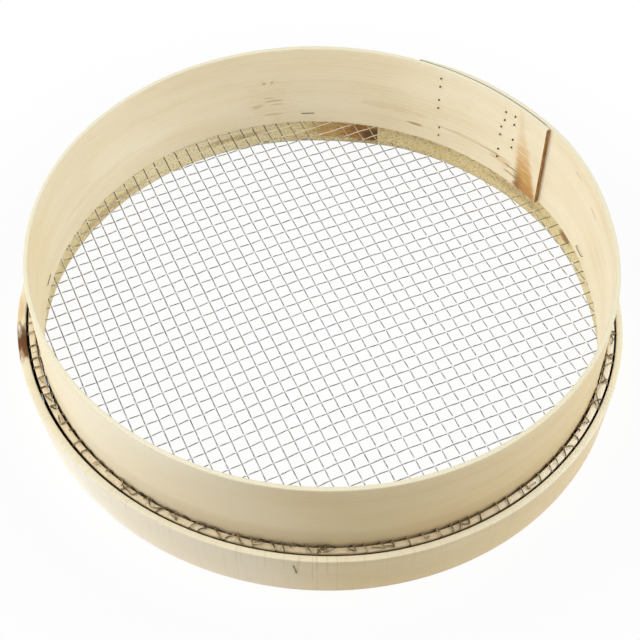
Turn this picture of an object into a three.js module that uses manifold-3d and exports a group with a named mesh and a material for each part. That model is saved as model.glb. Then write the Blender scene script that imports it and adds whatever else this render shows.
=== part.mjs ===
// A hand-made wooden riddle: a tall bent-wood hoop, a woven wire screen folded up round its lower edge, and two
// low hoops that clamp the folded wires and hold the screen clear of the ground.
// Millimetres and degrees. +Z is up and the ground is z = 0. Angles run anticlockwise from +X, seen from above.
import * as THREE from "three";
import { mergeVertices } from "three/addons/utils/BufferGeometryUtils.js";
import Module from "manifold-3d";

// Tall hoop: one strip bent into a ring, its outer end lapped over its inner end.
const MAIN_INNER_RADIUS = 203;
const MAIN_WALL = 3.4;
const MAIN_HEIGHT = 79;
const MAIN_LAP_START = 33;
const MAIN_LAP_END = 68;

// Low hoops: a thick filler ring that the wires are folded over, and an outer hoop with a lap of its own.
const BAND_HEIGHT = 42;
const FILLER_WALL = 5.2;
const FILLER_JOINT = 77;
const FILLER_JOINT_GAP = 1.5;
const OUTER_WALL = 4.6;
const OUTER_LAP_START = 118;
const OUTER_LAP_END = 148;

// The angle over which a strip climbs onto its own lap, and over which the low hoops settle behind it.
const CLIMB = 30;
const SETTLE = 20;

// Wire screen: two crossing sets of straight wires. A shift moves a set sideways, in parts of the pitch.
const SKIRT_DROP = 27;
const WIRE = 1;
const MESH_PITCH = 10;
const WARP_ANGLE = 114;
const WARP_SHIFT = 0.38;
const WEFT_ANGLE = 25.5;
const WEFT_SHIFT = 0.23;
const RING_INSET = 0.4;

// Folded hem: the wire ends, tied by a low ring, climb between the hoops and hook over the filler ring. The few
// wires nearer the side than the margin run along the hem and have no hook.
const HEM_RING_HEIGHT = 2;
const HEM_RING_SPARE = 0.2;
const HEM_TAIL = 6;
const HEM_SIDE_MARGIN = 10;

// Staples of square wire. Depths are how far a leg goes into the last piece of wood that it enters.
const STAPLE_CROWN = 10;
const STAPLE_WIRE = 0.8;
const STAPLE_TIP = 0.8;
const STAPLE_BITE = 4;
const STAPLE_COVER = 1.2;
const INNER_STAPLE_RISE = 10;
const FRONT_STAPLE_ANGLE = 266;
const FRONT_STAPLE_TILT = 105;
const BAND_ROW_INSET = 7;
const BAND_STAPLE_EDGE = 12;

// Clearance between neighbours, and the number of flats in one turn of a hoop.
const FIT = 0.3;
const FLATS = 120;
const LEAST_EDGE = 0.03;

// Radii and heights that follow.
const MAIN_OUTER_RADIUS = MAIN_INNER_RADIUS + MAIN_WALL;
const MAIN_STEP = MAIN_WALL + FIT;
const OUTER_STEP = OUTER_WALL + FIT;
const HEM_WALL = WIRE + HEM_RING_SPARE;
const HEM_RADIUS = MAIN_OUTER_RADIUS + FIT + HEM_WALL / 2;
const FILLER_INNER_RADIUS = HEM_RADIUS + HEM_WALL / 2 + FIT;
const FILLER_OUTER_RADIUS = FILLER_INNER_RADIUS + FILLER_WALL;
const TAIL_RADIUS = FILLER_OUTER_RADIUS + FIT + WIRE / 2;
const OUTER_INNER_RADIUS = TAIL_RADIUS + WIRE / 2 + FIT;
const WEFT_TOP = SKIRT_DROP - FIT;
const WARP_TOP = WEFT_TOP - WIRE - FIT;
const RING_INNER_RADIUS = MAIN_INNER_RADIUS + RING_INSET;
const RING_OUTER_RADIUS = MAIN_OUTER_RADIUS - RING_INSET;

// A square bar with the same section as the round wire.
const HEM_BAR = (WIRE * Math.sqrt(Math.PI)) / 2;
const TURN = 360;

const wasm = await Module();
wasm.setup();

const sine = (degrees) => Math.sin(THREE.MathUtils.degToRad(degrees));
const cosine = (degrees) => Math.cos(THREE.MathUtils.degToRad(degrees));
const polar = (radius, angle) => new THREE.Vector2(radius * cosine(angle), radius * sine(angle));

function solid(geometry) {
  const bare = geometry.clone();
  bare.deleteAttribute("normal");
  bare.deleteAttribute("uv");
  const merged = mergeVertices(bare, 1e-4);
  const mesh = new wasm.Mesh({
    numProp: 3,
    vertProperties: merged.attributes.position.array,
    triVerts: new Uint32Array(merged.index.array),
  });
  return new wasm.Manifold(mesh);
}

function geometryOf(body) {
  const mesh = body.getMesh();
  const geometry = new THREE.BufferGeometry();
  geometry.setAttribute("position", new THREE.BufferAttribute(mesh.vertProperties, 3));
  geometry.setIndex(new THREE.BufferAttribute(mesh.triVerts, 1));
  const flat = geometry.toNonIndexed();
  flat.computeVertexNormals();
  return flat;
}

function upright(shape, bottom, height) {
  const geometry = new THREE.ExtrudeGeometry(shape, { depth: height, bevelEnabled: false, steps: 1 });
  return geometry.translate(0, 0, bottom);
}

// Angles from start to end on the hoop's own flats, with the end itself always last.
function stations(start, end) {
  const step = TURN / FLATS;
  const count = Math.ceil((end - start) / step - 1 / 2);
  const angles = Array.from({ length: count }, (_, i) => start + i * step);
  return [...angles, end];
}

// A bent strip seen from above: its inner face out along the angles, its outer face back again.
function strip(start, end, innerRadius, wall) {
  const angles = stations(start, end);
  const inner = angles.map((a) => polar(innerRadius(a), a));
  const outer = angles.map((a) => polar(innerRadius(a) + wall, a));
  return new THREE.Shape([...inner.reverse(), ...outer]);
}

// How far the low hoops are pushed out by the tall hoop's lap, from 0 to 1.
function swell(angle) {
  const from = MAIN_LAP_START - CLIMB;
  const a = THREE.MathUtils.euclideanModulo(angle - from, TURN) + from;
  const up = THREE.MathUtils.smoothstep(a, from, MAIN_LAP_START);
  const down = THREE.MathUtils.smoothstep(a, MAIN_LAP_END, MAIN_LAP_END + SETTLE);
  return up - down;
}

const pushed = (radius) => (angle) => radius + MAIN_STEP * swell(angle);

// The tall hoop's strip starts inside its lap and climbs over its own beginning at the end of the turn.
function mainInner(angle) {
  const climb = THREE.MathUtils.smoothstep(angle, MAIN_LAP_START + TURN - CLIMB, MAIN_LAP_START + TURN);
  return MAIN_INNER_RADIUS + MAIN_STEP * climb;
}

function outerInner(angle) {
  const climb = THREE.MathUtils.smoothstep(angle, OUTER_LAP_START + TURN - CLIMB, OUTER_LAP_START + TURN);
  return pushed(OUTER_INNER_RADIUS)(angle) + OUTER_STEP * climb;
}

const mainStrip = strip(MAIN_LAP_START, MAIN_LAP_END + TURN, mainInner, MAIN_WALL);
const outerStrip = strip(OUTER_LAP_START, OUTER_LAP_END + TURN, outerInner, OUTER_WALL);
const jointHalf = THREE.MathUtils.radToDeg(FILLER_JOINT_GAP / 2 / FILLER_INNER_RADIUS);
const fillerStrip = strip(
  FILLER_JOINT + jointHalf,
  FILLER_JOINT + TURN - jointHalf,
  pushed(FILLER_INNER_RADIUS),
  FILLER_WALL,
);

// Sideways places of the wires in one set.
function wireOffsets(shift) {
  const limit = RING_INNER_RADIUS - WIRE;
  const first = Math.ceil(-limit / MESH_PITCH - shift);
  const last = Math.floor(limit / MESH_PITCH - shift);
  return Array.from({ length: last - first + 1 }, (_, i) => (first + i + shift) * MESH_PITCH);
}

// The open slot between two wires: the part of the ring's inside from low to high.
function slot(low, high) {
  const side = (from, to) => {
    const a = THREE.MathUtils.radToDeg(Math.asin(from / RING_INNER_RADIUS));
    const b = THREE.MathUtils.radToDeg(Math.asin(to / RING_INNER_RADIUS));
    const count = Math.ceil((b - a) / (TURN / FLATS));
    return Array.from({ length: count + 1 }, (_, i) => polar(RING_INNER_RADIUS, a + ((b - a) * i) / count));
  };
  const right = side(low, high);
  const left = side(low, high).map((p) => new THREE.Vector2(-p.x, p.y)).reverse();
  const points = [...right, ...left];
  const apart = points.filter((p, i) => p.distanceTo(points[(i + 1) % points.length]) > LEAST_EDGE);
  return new THREE.Path(apart);
}

// One set of wires in one layer, tied by a thin ring under the tall hoop's lower edge.
function wireLayer(angle, shift, top) {
  const rim = Array.from({ length: FLATS }, (_, i) => polar(RING_OUTER_RADIUS, (i * TURN) / FLATS));
  const shape = new THREE.Shape(rim);
  const offsets = wireOffsets(shift);
  const lows = [-RING_INNER_RADIUS, ...offsets.map((o) => o + WIRE / 2)];
  const highs = [...offsets.map((o) => o - WIRE / 2), RING_INNER_RADIUS];
  shape.holes = lows.map((low, i) => slot(low, highs[i]));
  return upright(shape, top - WIRE, WIRE).rotateZ(THREE.MathUtils.degToRad(angle));
}

// Angles at which the wires of one set meet the hem.
function wireEnds(angle, shift) {
  const kept = wireOffsets(shift).filter((o) => Math.abs(o) < HEM_RADIUS - HEM_SIDE_MARGIN);
  return kept.flatMap((o) => {
    const lean = THREE.MathUtils.radToDeg(Math.asin(o / HEM_RADIUS));
    return [angle + lean, angle + TURN / 2 - lean];
  });
}

// A wire end: up between the hoops, over the filler ring and down behind the outer hoop.
function hook(angle) {
  const half = HEM_BAR / 2;
  const near = pushed(HEM_RADIUS)(angle);
  const far = pushed(TAIL_RADIUS)(angle);
  const foot = SKIRT_DROP + HEM_RING_HEIGHT / 2;
  const tail = BAND_HEIGHT - HEM_TAIL;
  const under = BAND_HEIGHT + FIT;
  const over = under + HEM_BAR;
  const outline = [
    [near - half, foot],
    [near + half, foot],
    [near + half, under],
    [far - half, under],
    [far - half, tail],
    [far + half, tail],
    [far + half, over],
    [near - half, over],
  ];
  const shape = new THREE.Shape(outline.map(([x, y]) => new THREE.Vector2(x, y)));
  const geometry = new THREE.ExtrudeGeometry(shape, { depth: HEM_BAR, bevelEnabled: false, steps: 1 });
  geometry.translate(0, 0, -half);
  geometry.rotateX(Math.PI / 2);
  return geometry.rotateZ(THREE.MathUtils.degToRad(angle));
}

const hemAngles = [...wireEnds(WARP_ANGLE, WARP_SHIFT), ...wireEnds(WEFT_ANGLE, WEFT_SHIFT)];

function hem() {
  const flats = Array.from({ length: FLATS }, (_, i) => (i * TURN) / FLATS);
  const shape = new THREE.Shape(flats.map((a) => polar(pushed(HEM_RADIUS + HEM_WALL / 2)(a), a)));
  shape.holes = [new THREE.Path(flats.map((a) => polar(pushed(HEM_RADIUS - HEM_WALL / 2)(a), a)))];
  const ring = solid(upright(shape, SKIRT_DROP, HEM_RING_HEIGHT));
  return hemAngles.reduce((body, angle) => body.add(solid(hook(angle))), ring);
}

// A staple lies flush in the wood. Its crown faces out of the hoop or into it, turned by its tilt from level.
function stapleShape(legLength, clearance, relief) {
  const side = STAPLE_CROWN / 2 + clearance;
  const leg = STAPLE_CROWN / 2 - STAPLE_WIRE - clearance;
  const tip = -legLength - clearance;
  const crown = -STAPLE_WIRE - clearance;
  const outline = [
    [-side, tip],
    [-leg, tip],
    [-leg, crown],
    [leg, crown],
    [leg, tip],
    [side, tip],
    [side, relief],
    [-side, relief],
  ];
  const shape = new THREE.Shape(outline.map(([x, y]) => new THREE.Vector2(x, y)));
  const depth = STAPLE_WIRE + 2 * clearance;
  const geometry = new THREE.ExtrudeGeometry(shape, { depth, bevelEnabled: false, steps: 1 });
  return geometry.translate(0, 0, -depth / 2);
}

function staple({ name, angle, height, tilt, radius, facing, legLength, cuts }) {
  const radial = new THREE.Vector3(cosine(angle), sine(angle), 0);
  const around = new THREE.Vector3(-sine(angle), cosine(angle), 0);
  const crownLine = around.multiplyScalar(cosine(tilt)).add(new THREE.Vector3(0, 0, sine(tilt)));
  const out = radial.clone().multiplyScalar(facing);
  const placed = new THREE.Matrix4().makeBasis(crownLine, out, crownLine.clone().cross(out));
  placed.setPosition(radial.x * radius, radial.y * radius, height);
  const body = stapleShape(legLength, 0, 0).applyMatrix4(placed);
  const pocket = stapleShape(legLength, FIT, 2 * STAPLE_WIRE).applyMatrix4(placed);
  return { name, body, pocket: solid(pocket), cuts };
}

// The nearest angle to the wanted one at which both legs of a level staple pass between the hem's wires.
function clearAngle(wanted) {
  const legAngle = THREE.MathUtils.radToDeg((STAPLE_CROWN - STAPLE_WIRE) / 2 / HEM_RADIUS);
  const room = (angle) => {
    const distances = hemAngles.flatMap((wire) =>
      [-legAngle, legAngle].map((leg) => {
        const apart = THREE.MathUtils.euclideanModulo(angle + leg - wire + TURN / 2, TURN) - TURN / 2;
        return Math.abs(THREE.MathUtils.degToRad(apart)) * HEM_RADIUS;
      }),
    );
    return Math.min(...distances);
  };
  const enough = HEM_BAR / 2 + STAPLE_WIRE / 2 + 2 * FIT;
  const step = TURN / FLATS / FLATS;
  const moves = Array.from({ length: FLATS * 4 }, (_, i) => (i % 2 ? 1 : -1) * Math.ceil(i / 2) * step);
  return wanted + moves.find((move) => room(wanted + move) > enough);
}

// Staples through the tall hoop's lap, their leg tips showing inside: the angle of each crown and the height of
// its middle as a part of the hoop's height.
const LAP_STAPLES = [
  [MAIN_LAP_END - 5.5, 0.84],
  [MAIN_LAP_END - 5.5, 0.555],
  [MAIN_LAP_END - 6.2, 0.19],
  [MAIN_LAP_START + 12.3, 0.815],
  [MAIN_LAP_START + 13, 0.6],
  [MAIN_LAP_START + 13, 0.295],
  [MAIN_LAP_START + 9.6, 0.835],
  [MAIN_LAP_START + 9.4, 0.53],
];
const lapStaples = LAP_STAPLES.map(([angle, part], i) =>
  staple({
    name: `lap_staple_${i + 1}`,
    angle,
    height: SKIRT_DROP + part * MAIN_HEIGHT,
    tilt: 90,
    radius: MAIN_OUTER_RADIUS + MAIN_STEP,
    facing: 1,
    legLength: MAIN_STEP + MAIN_WALL + STAPLE_TIP,
    cuts: ["main_hoop"],
  }),
);

// Staples from inside the tall hoop into the filler ring, a little above the screen.
const INNER_STAPLES = [14.3, 93.5, 175, 254, 334];
const innerStaples = INNER_STAPLES.map((wanted, i) => {
  const angle = clearAngle(wanted);
  const inside = mainInner(angle < MAIN_LAP_START ? angle + TURN : angle);
  const bitten = pushed(FILLER_INNER_RADIUS)(angle) + STAPLE_BITE;
  return staple({
    name: `inner_staple_${i + 1}`,
    angle,
    height: SKIRT_DROP + INNER_STAPLE_RISE,
    tilt: 0,
    radius: inside,
    facing: -1,
    legLength: bitten - inside,
    cuts: ["main_hoop", "filler_hoop"],
  });
});

// One staple through the front of the outer hoop into the filler ring, set a little askew.
const frontStaple = staple({
  name: "front_staple",
  angle: FRONT_STAPLE_ANGLE,
  height: BAND_HEIGHT - HEM_TAIL - STAPLE_CROWN / 2 - 3 * FIT,
  tilt: FRONT_STAPLE_TILT,
  radius: OUTER_INNER_RADIUS + OUTER_WALL,
  facing: 1,
  legLength: OUTER_INNER_RADIUS + OUTER_WALL - FILLER_OUTER_RADIUS + STAPLE_BITE,
  cuts: ["outer_hoop", "filler_hoop"],
});

// Staples through the outer hoop's lap: two in a row near each end of it.
const bandRows = [OUTER_LAP_START + BAND_ROW_INSET, OUTER_LAP_END - BAND_ROW_INSET];
const bandHeights = [BAND_STAPLE_EDGE, BAND_HEIGHT - BAND_STAPLE_EDGE];
const bandStaples = bandRows.flatMap((angle, row) =>
  bandHeights.map((height, i) =>
    staple({
      name: `band_staple_${row * bandHeights.length + i + 1}`,
      angle,
      height,
      tilt: 90,
      radius: OUTER_INNER_RADIUS + OUTER_STEP + OUTER_WALL,
      facing: 1,
      legLength: OUTER_STEP + OUTER_WALL - STAPLE_COVER,
      cuts: ["outer_hoop"],
    }),
  ),
);

const staples = [...lapStaples, ...innerStaples, frontStaple, ...bandStaples];

// A hoop with the pockets of every staple that enters it.
function drilled(name, shape, bottom, height) {
  const pockets = staples.filter((s) => s.cuts.includes(name));
  return pockets.reduce((body, s) => body.subtract(s.pocket), solid(upright(shape, bottom, height)));
}

const wood = () => new THREE.MeshStandardMaterial({ color: 0xdcc593, roughness: 0.72, metalness: 0 });
const dryWood = () => new THREE.MeshStandardMaterial({ color: 0xd2bd90, roughness: 0.8, metalness: 0 });
const wireSteel = () => new THREE.MeshStandardMaterial({ color: 0x8f9194, roughness: 0.45, metalness: 0.9 });
const stapleSteel = () => new THREE.MeshStandardMaterial({ color: 0x75757a, roughness: 0.4, metalness: 0.9 });

const sieve = new THREE.Group();
sieve.name = "wooden_sieve";

function place(name, geometry, material) {
  const mesh = new THREE.Mesh(geometry, material);
  mesh.name = name;
  sieve.add(mesh);
}

place("main_hoop", geometryOf(drilled("main_hoop", mainStrip, SKIRT_DROP, MAIN_HEIGHT)), wood());
place("filler_hoop", geometryOf(drilled("filler_hoop", fillerStrip, 0, BAND_HEIGHT)), dryWood());
place("outer_hoop", geometryOf(drilled("outer_hoop", outerStrip, 0, BAND_HEIGHT)), wood());
place("warp_wires", wireLayer(WARP_ANGLE, WARP_SHIFT, WARP_TOP), wireSteel());
place("weft_wires", wireLayer(WEFT_ANGLE, WEFT_SHIFT, WEFT_TOP), wireSteel());
place("mesh_hem", geometryOf(hem()), wireSteel());
staples.forEach((s) => place(s.name, s.body, stapleSteel()));

export default sieve;
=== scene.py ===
# %% [markdown]
# # A hand-made wooden riddle, finished in Blender
# A riddle is a coarse sieve. A tall hoop of bent wood holds wire cloth under its foot. The cloth's edge is folded up
# and hooked over a thick low hoop, and a thin low hoop outside clamps it there.
# The packed model is loaded first and stays as it is: every piece below is made in metres, in the same place.

# %% Load the fixed frame
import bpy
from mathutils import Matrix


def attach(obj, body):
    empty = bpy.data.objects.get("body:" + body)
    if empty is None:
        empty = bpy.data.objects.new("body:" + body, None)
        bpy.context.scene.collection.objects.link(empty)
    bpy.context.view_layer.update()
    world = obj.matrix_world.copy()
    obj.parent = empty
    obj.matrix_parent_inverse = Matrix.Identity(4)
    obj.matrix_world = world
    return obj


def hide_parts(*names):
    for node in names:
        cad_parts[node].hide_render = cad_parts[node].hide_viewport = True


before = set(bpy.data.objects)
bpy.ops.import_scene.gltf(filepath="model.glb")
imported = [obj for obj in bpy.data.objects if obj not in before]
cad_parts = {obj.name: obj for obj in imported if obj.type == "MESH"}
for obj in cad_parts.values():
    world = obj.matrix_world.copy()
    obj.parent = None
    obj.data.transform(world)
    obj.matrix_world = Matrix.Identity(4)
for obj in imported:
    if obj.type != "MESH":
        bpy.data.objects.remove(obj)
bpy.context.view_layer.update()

# %% Tools for the whole lesson
import math
import random
from collections import namedtuple

import bpy
from mathutils import Matrix, Vector

scene = bpy.context.scene
scene.view_settings.view_transform = "Standard"
MM = 0.001
print("colours are shown by the", scene.view_settings.view_transform, "view")

# %% [markdown]
# ## Camera
# The riddle is seen from the front and well above, so that the cloth shows as a wide oval. A camera can be aimed by
# eye, but here its numbers were fitted to the rims and to the wire grid, so that every mark falls where it should. A
# long lens keeps the far rim nearly as wide as the near one, and a very small roll levels the hoop.

# %% Camera
LENS, PITCH, ROLL = 72.77, 38.68, 0.44
CAMERA_PLACE = (-0.0005, -0.6103, 0.7754)
camera = bpy.data.objects.new("camera", bpy.data.cameras.new("camera"))
camera.data.lens = LENS
turn = Matrix.Rotation(math.radians(PITCH), 4, "X") @ Matrix.Rotation(math.radians(ROLL), 4, "Z")
camera.matrix_world = Matrix.Translation(CAMERA_PLACE) @ turn
scene.collection.objects.link(camera)
scene.camera = camera
print("camera:", LENS, "mm lens, tilted", PITCH, "degrees from straight down")

# %% [markdown]
# ## Helpers for nodes
# Every finish and most shapes here are node trees. Writing them line by line gets long, so what flows out of a node is
# wrapped: a sum or a product of flows adds the Math node for it. One helper adds any other node and fills its sockets,
# by name or by number. The rest are short names for the nodes that come back most.

# %% Node helpers
class Flow:
    """What flows out of a node. Plain arithmetic with it adds Math nodes to the same tree."""

    def __init__(self, socket):
        self.socket, self.tree = socket, socket.id_data

    def __add__(self, other):
        return sum_of("ADD", self, other)

    def __sub__(self, other):
        return sum_of("SUBTRACT", self, other)

    def __mul__(self, other):
        return sum_of("MULTIPLY", self, other)

    def __truediv__(self, other):
        return sum_of("DIVIDE", self, other)


def add(kind, inputs=None, tree=None, **settings):
    """Add a node and fill its inputs with values or flows; a flow also says which tree it is for."""
    inputs = inputs or {}
    tree = tree or next(value.tree for value in inputs.values() if isinstance(value, Flow))
    family = "ShaderNode" if hasattr(bpy.types, "ShaderNode" + kind) else "GeometryNode"
    node = tree.nodes.new(family + kind)
    for key, value in settings.items():
        setattr(node, key, value)
    for key, value in inputs.items():
        if isinstance(value, Flow):
            link(value, node.inputs[key])
        else:
            node.inputs[key].default_value = value
    return node


def link(flow, socket):
    """Lead a flow into a socket."""
    flow.tree.links.new(flow.socket, socket)


def output(kind, inputs=None, tree=None, take=0, **settings):
    """One output of a new node, by number or name."""
    return Flow(add(kind, inputs, tree, **settings).outputs[take])


def sum_of(operation, *terms):
    """One Math node on numbers or flows."""
    return output("Math", dict(enumerate(terms)), operation=operation)


def ease(value, low, high, start=0.0, end=1.0):
    """A soft step from start to end while the value goes from low to high."""
    inputs = {0: value, 1: low, 2: high, 3: start, 4: end}
    return output("MapRange", inputs, interpolation_type="SMOOTHSTEP")


print("nodes can now be added up and multiplied like numbers")

# %% Helpers for places and groups
def vector(x=0.0, y=0.0, z=0.0):
    """A place from three numbers or flows."""
    return output("CombineXYZ", {0: x, 1: y, 2: z})


def parts(place):
    """The three numbers of a place."""
    return [Flow(socket) for socket in add("SeparateXYZ", {0: place}).outputs]


def vector_sum(operation, *terms):
    """One Vector Math node; a length or a dot product comes out as a number."""
    take = "Value" if operation in ("LENGTH", "DOT_PRODUCT") else "Vector"
    return output("VectorMath", dict(enumerate(terms)), take=take, operation=operation)


FORMS = {float: "Float", int: "Int", tuple: "Vector"}


def open_group(name, inputs, **outputs):
    """A node group with named sockets. An input has a default value, or the word Geometry or Material."""
    family = "GeometryNodeTree" if "Geometry" in inputs.values() else "ShaderNodeTree"
    tree = bpy.data.node_groups.new(name, family)
    for label, value in inputs.items():
        form = FORMS.get(type(value), value)
        socket = tree.interface.new_socket(label, in_out="INPUT", socket_type="NodeSocket" + form)
        if form != value:
            socket.default_value = value
    for label, form in outputs.items():
        tree.interface.new_socket(label, in_out="OUTPUT", socket_type="NodeSocket" + form)
    given = {socket.name: Flow(socket) for socket in tree.nodes.new("NodeGroupInput").outputs}
    return tree, given, tree.nodes.new("NodeGroupOutput").inputs


def colour(red, green, blue):
    """A colour as a screen shows it (0 to 255), turned into the linear numbers that Blender reads."""
    return tuple(((c / 255 + 0.055) / 1.055) ** 2.4 for c in (red, green, blue)) + (1.0,)


def emptied(owner):
    """Switch on the nodes of a material or world, and clear them."""
    owner.use_nodes = True
    owner.node_tree.nodes.clear()
    return owner.node_tree


print("half-bright on a screen is", round(colour(128, 128, 128)[0], 3), "in Blender's numbers")

# %% [markdown]
# ## Light and floor
# Soft boxes on both sides and above, the left one strongest, give the pale wood its gentle shading. A sky picture
# could light it too, but three lamps are easier to balance. The floor is matt, with a whiter sheet under the riddle
# that throws light up through the cloth. Its camera view is mostly an even white, so it looks like paper, and partly
# the lit surface, so that it still shows the shadow.

# %% Soft boxes
LIGHT_AIM = Vector((0, 0, 0.05))


def soft_box(name, place, size, watts):
    """A square lamp that faces the object."""
    lamp = bpy.data.lights.new(name, "AREA")
    lamp.shape, lamp.size, lamp.energy = "SQUARE", size, watts
    holder = bpy.data.objects.new(name, lamp)
    aim = (LIGHT_AIM - Vector(place)).to_track_quat("-Z", "Y")
    holder.matrix_world = Matrix.Translation(place) @ aim.to_matrix().to_4x4()
    scene.collection.objects.link(holder)


soft_box("light_left", (-1.3, -0.16, 0.84), size=1.1, watts=17.4)
soft_box("light_right", (1.3, -0.15, 0.85), size=1.1, watts=13)
soft_box("light_top", (0.0, 0.0, 1.7), size=1.2, watts=7.5)
print("soft boxes:", [o.name for o in scene.objects if o.type == "LIGHT"])

# %% World
WHITE = (1, 1, 1, 1)
AMBIENT = 0.42


def seen_directly(tree):
    """1 where the camera, a shiny surface or a clear one looks at this surface, 0 for scattered light."""
    path = add("LightPath", tree=tree).outputs
    camera_ray, glossy, clear = (Flow(path["Is " + kind + " Ray"]) for kind in ("Camera", "Glossy", "Transmission"))
    return sum_of("MAXIMUM", sum_of("MAXIMUM", camera_ray, glossy), clear)


scene.world = scene.world or bpy.data.worlds.new("studio")
level = ease(seen_directly(emptied(scene.world)), 0, 1, AMBIENT, 1.0)
add("OutputWorld", {"Surface": output("Background", {"Color": WHITE, "Strength": level})})
print("ambient light:", AMBIENT)

# %% Floor
FLOOR_REACH, FLOOR_LEVEL = 4.0, -0.0005
SHEET_FADE, PAPER_FADE = (0.2, 0.26, 0.94, 0.5), (0.23, 0.42, 0.94, 1.0)
paper = bpy.data.materials.new("floor_paper")
sheet = emptied(paper)
spread = vector_sum("LENGTH", output("TexCoord", tree=sheet, take="Object"))
lit = output("BsdfDiffuse", {"Color": ease(spread, *SHEET_FADE)})
even = output("Emission", {"Color": WHITE, "Strength": 1.0}, sheet)
share = seen_directly(sheet) * ease(spread, *PAPER_FADE)
add("OutputMaterial", {"Surface": output("MixShader", {0: share, 1: lit, 2: even})})

corners = [(x * FLOOR_REACH, y * FLOOR_REACH, FLOOR_LEVEL) for x, y in ((-1, -1), (1, -1), (1, 1), (-1, 1))]
floor_mesh = bpy.data.meshes.new("floor")
floor_mesh.from_pydata(corners, [], [(0, 1, 2, 3)])
floor_mesh.materials.append(paper)
floor = bpy.data.objects.new("floor", floor_mesh)
scene.collection.objects.link(floor)
print("floor:", FLOOR_REACH * 2, "m across")

# %% [markdown]
# ## Effects that several finishes share
# Bent wood shows long streaks, small pores and slow changes of tone. A pattern in space would run straight through
# the bends, so these follow the plank and read its own map: the first number runs along the plank, the second round
# its section, both in metres. A second group draws a soft patch, for bark, stains, knots and patches of painted
# light, and a third rubs a paler line along worn edges. Each is built once and placed in every finish that needs it.

# %% Plank grain
def noise(place, stretch=None, scale=1.0, detail=2.0, rough=0.5, turn=0.0):
    """A noise pattern; the stretch says how fine it is along and across the plank."""
    if stretch:
        place = output("Mapping", {"Vector": place, "Rotation": (0, 0, turn), "Scale": (*stretch, 1)})
    return output("TexNoise", {"Vector": place, "Scale": scale, "Detail": detail, "Roughness": rough})


STREAKS, BANDS, CLOUDS, PORES = (7, 520), (2.2, 60), (9, 22), (70, 1500)
STREAK_SHARE, BAND_SHARE, CLOUD_SHARE = 0.26, 0.3, 0.44


def make_plank_grain():
    """Tone, pore and height of a plank, from its own map."""
    inputs = {"Map": (0, 0, 0), "Seed": 0.0, "Coarse": 1.0}
    tree, given, made = open_group("plank_grain", inputs, Tone="Float", Pore="Float", Height="Float")
    place, coarse = vector_sum("ADD", given["Map"], vector(z=given["Seed"])), given["Coarse"]
    fine = noise(place, STREAKS, coarse, 3, 0.6)
    bands = noise(place, BANDS, coarse)
    clouds = noise(place, CLOUDS, coarse)
    pores = ease(noise(place, PORES, coarse, 1), 0.62, 0.76)
    tone = sum_of("MULTIPLY_ADD", fine, STREAK_SHARE, bands * BAND_SHARE)
    link(sum_of("MULTIPLY_ADD", clouds, CLOUD_SHARE, tone), made["Tone"])
    link(pores, made["Pore"])
    link(fine - pores * 0.5, made["Height"])
    return tree


plank_grain = make_plank_grain()
print("grain nodes:", len(plank_grain.nodes))

# %% Soft patch and worn edge
def make_soft_patch():
    """A mask, 1 inside an oval on the plank's map, with an edge that frays along the grain."""
    inputs = {"Map": (0, 0, 0), "Centre": (0, 0, 0), "Half Size": (0, 0, 0), "Ragged": 0.5}
    tree, given, made = open_group("soft_patch", inputs, Mask="Float")
    off = vector_sum("SUBTRACT", given["Map"], given["Centre"])
    far = vector_sum("LENGTH", vector_sum("DIVIDE", off, given["Half Size"]))
    fray = noise(given["Map"], (90, 420), detail=4.0) - 0.5
    link(ease(far + fray * given["Ragged"], 1.0, 0.45), made["Mask"])
    return tree


def attribute(tree, name):
    """A number that the mesh carries, read by a material."""
    return output("Attribute", tree=tree, take="Fac", attribute_name=name)


def make_edge_wear():
    """A mask of the plank's rubbed edges, broken up so that it isn't an even line."""
    tree, given, made = open_group("edge_wear", {"Map": (0, 0, 0), "Amount": 0.5}, Mask="Float")
    chips = noise(given["Map"], scale=140.0, detail=3.0)
    edge = ease(attribute(tree, "edge"), 0.2, 0.9)
    link(edge * ease(chips, 0.35, 0.6) * given["Amount"], made["Mask"])
    return tree


soft_patch, edge_wear = make_soft_patch(), make_edge_wear()
print("shared effects:", [g.name for g in (plank_grain, soft_patch, edge_wear)])

# %% [markdown]
# ## The planks, laid flat
# A maker saws a thin plank, rounds its edges a little, shaves the end that will lie outside in the lap and steams the
# plank until it bends. A ring could be spun straight away, but then the grain would have no plank to follow. So it is
# made in the maker's order: first flat, with its map for the grain, then bent by nodes. Laid flat, its length is an
# angle, its width goes across the wall and its height goes up, and the bending only turns the angle into a place.

# %% Sizes of the wood, in millimetres and degrees
MAIN = {"inner": 203, "wall": 3.4, "foot": 27, "height": 79, "start": 33, "end": 428, "round": 0.7, "skive": 12}
FILLER = {"inner": 209.0, "wall": 4.4, "foot": 0, "height": 42, "start": 77.03, "end": 436.97, "round": 0.9}
OUTER = {"inner": 215.0, "wall": 4.6, "foot": 0, "height": 42, "start": 118, "end": 508, "round": 0.8}
MAIN_STEP, OUTER_STEP = 3.7, 4.9
OVAL, OVAL_ANGLE = 2.0, 142
OUTER_TUCK, MAIN_FLARE = 1.3, 0.7
print("widest radius of the wood:", OUTER["inner"] + OUTER["wall"], "mm plus the laps")

# %% A flat plank
CORNER_POINTS = 4
EDGE_BAND = 1.4
SKIVED = 0.6


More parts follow.
